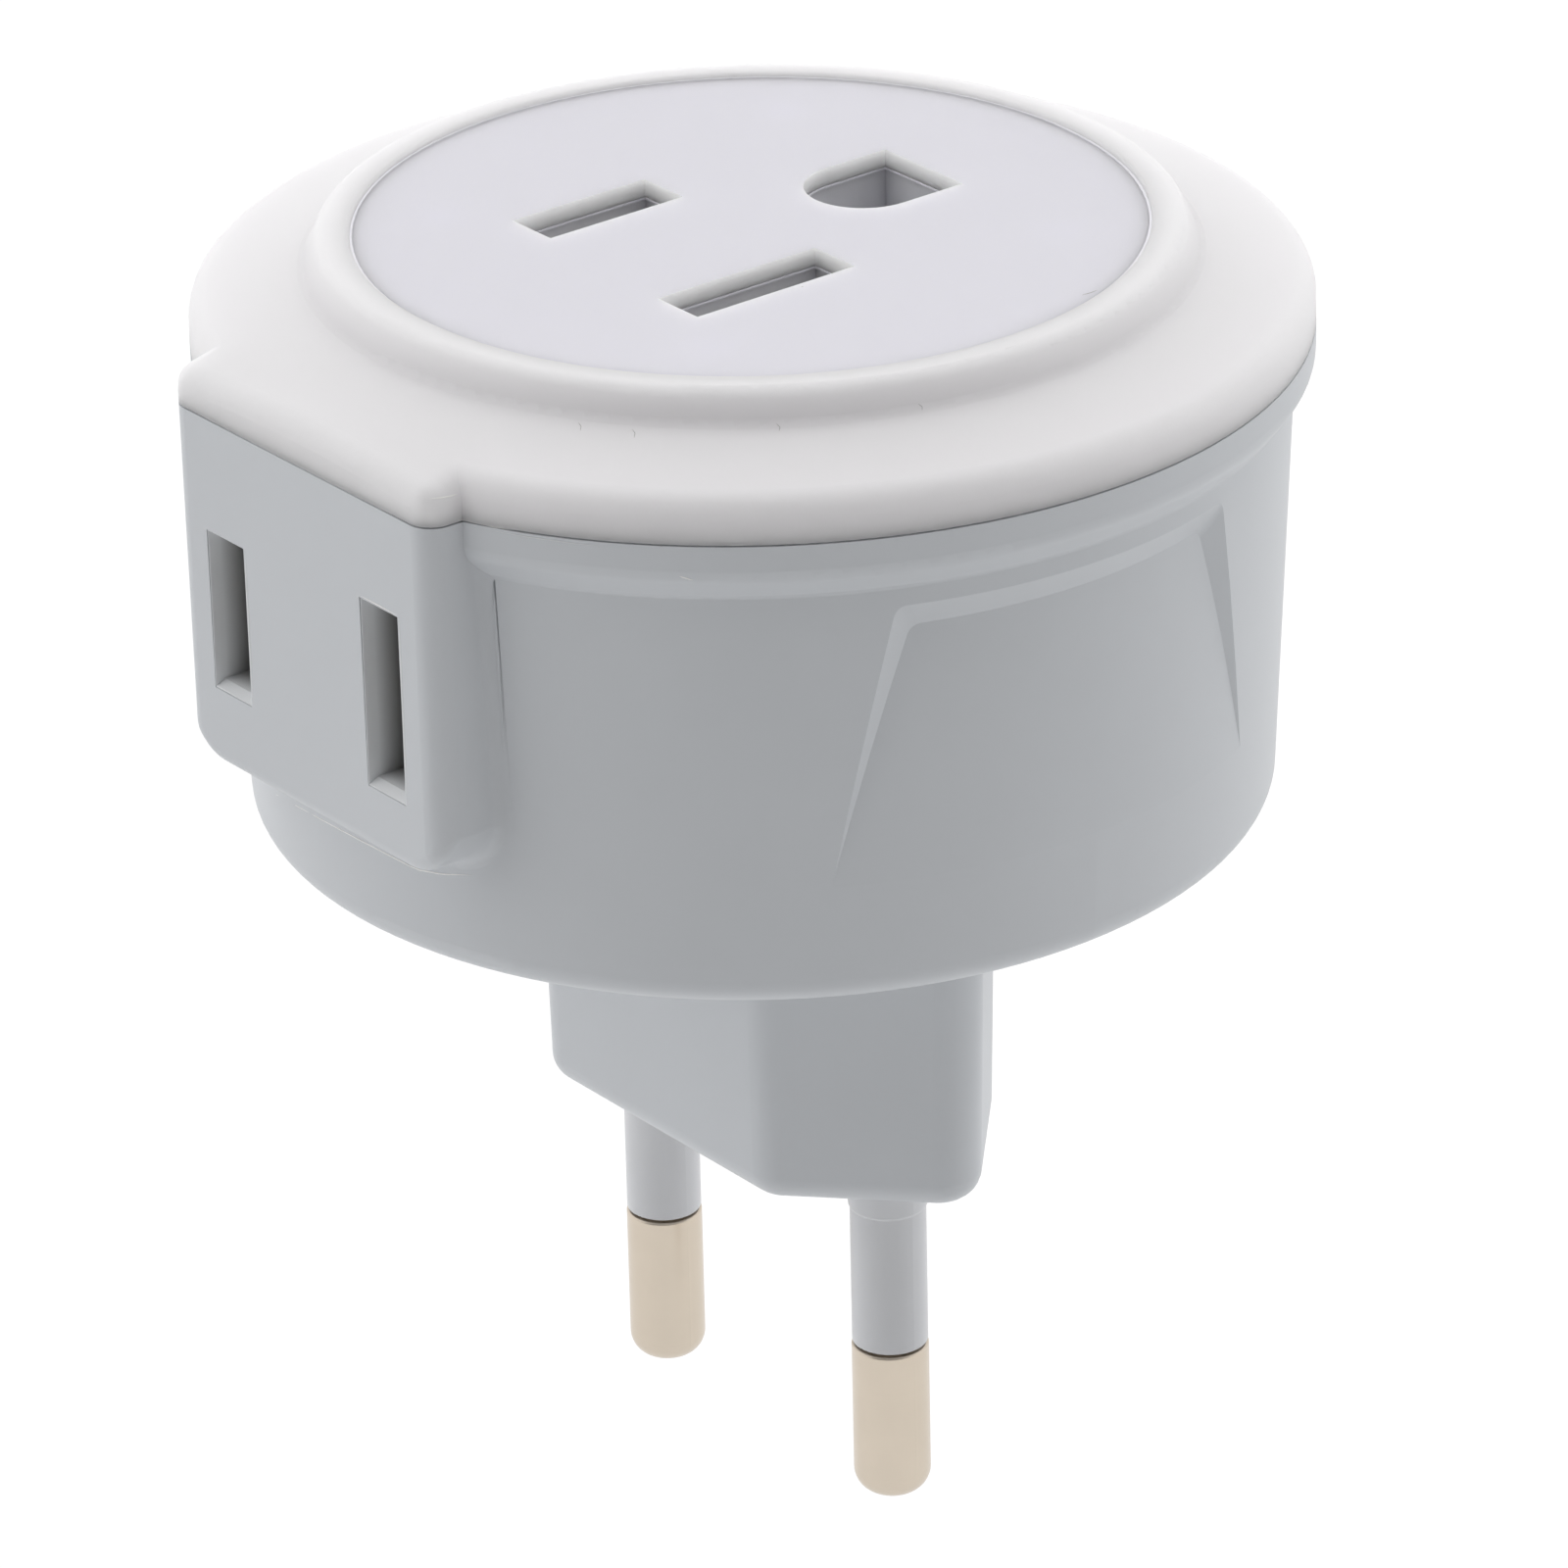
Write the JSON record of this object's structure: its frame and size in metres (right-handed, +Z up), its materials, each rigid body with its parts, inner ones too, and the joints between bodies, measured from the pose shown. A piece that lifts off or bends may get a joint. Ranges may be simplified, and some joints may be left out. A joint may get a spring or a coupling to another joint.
{
  "type": "plug adapter",
  "caption": "Round plug adapter: a hexagonal stem with round pins, a flat-blade socket with an earth hole on top and a side block with blade slots.",
  "frame": {"origin": "centre of the plug stem's foot face, midway between the two pins", "axes": "+X runs along the line of the pins towards the longer blade slot, +Z points up towards the socket face, and -Y points out of the side block"},
  "size_m": [0.0558, 0.0559, 0.0681],
  "materials": {
    "grey_plastic": "fine satin moulded surface",
    "white_plastic": "fine satin moulded surface",
    "pale_plastic": "fine satin moulded surface",
    "sleeve_plastic": "smooth moulded surface",
    "pin_nickel": "nickel plate on turned brass",
    "strip_brass": "stamped sheet",
    "screw_steel": "zinc plated"
  },
  "bodies": {
    "root": {"lower_housing": "grey_plastic", "top_cover": "white_plastic", "face_plate": "pale_plastic", "contact_carrier": "grey_plastic", "pin_left": "pin_nickel", "pin_right": "pin_nickel", "pin_sleeve_left": "sleeve_plastic", "pin_sleeve_right": "sleeve_plastic", "bus_strip_left": "strip_brass", "bus_strip_right": "strip_brass", "top_clip_left": "strip_brass", "top_clip_right": "strip_brass", "side_clip_left": "strip_brass", "side_clip_right": "strip_brass", "clip_rivets": "strip_brass", "housing_screws": "screw_steel"}
  },
  "joints": []
}
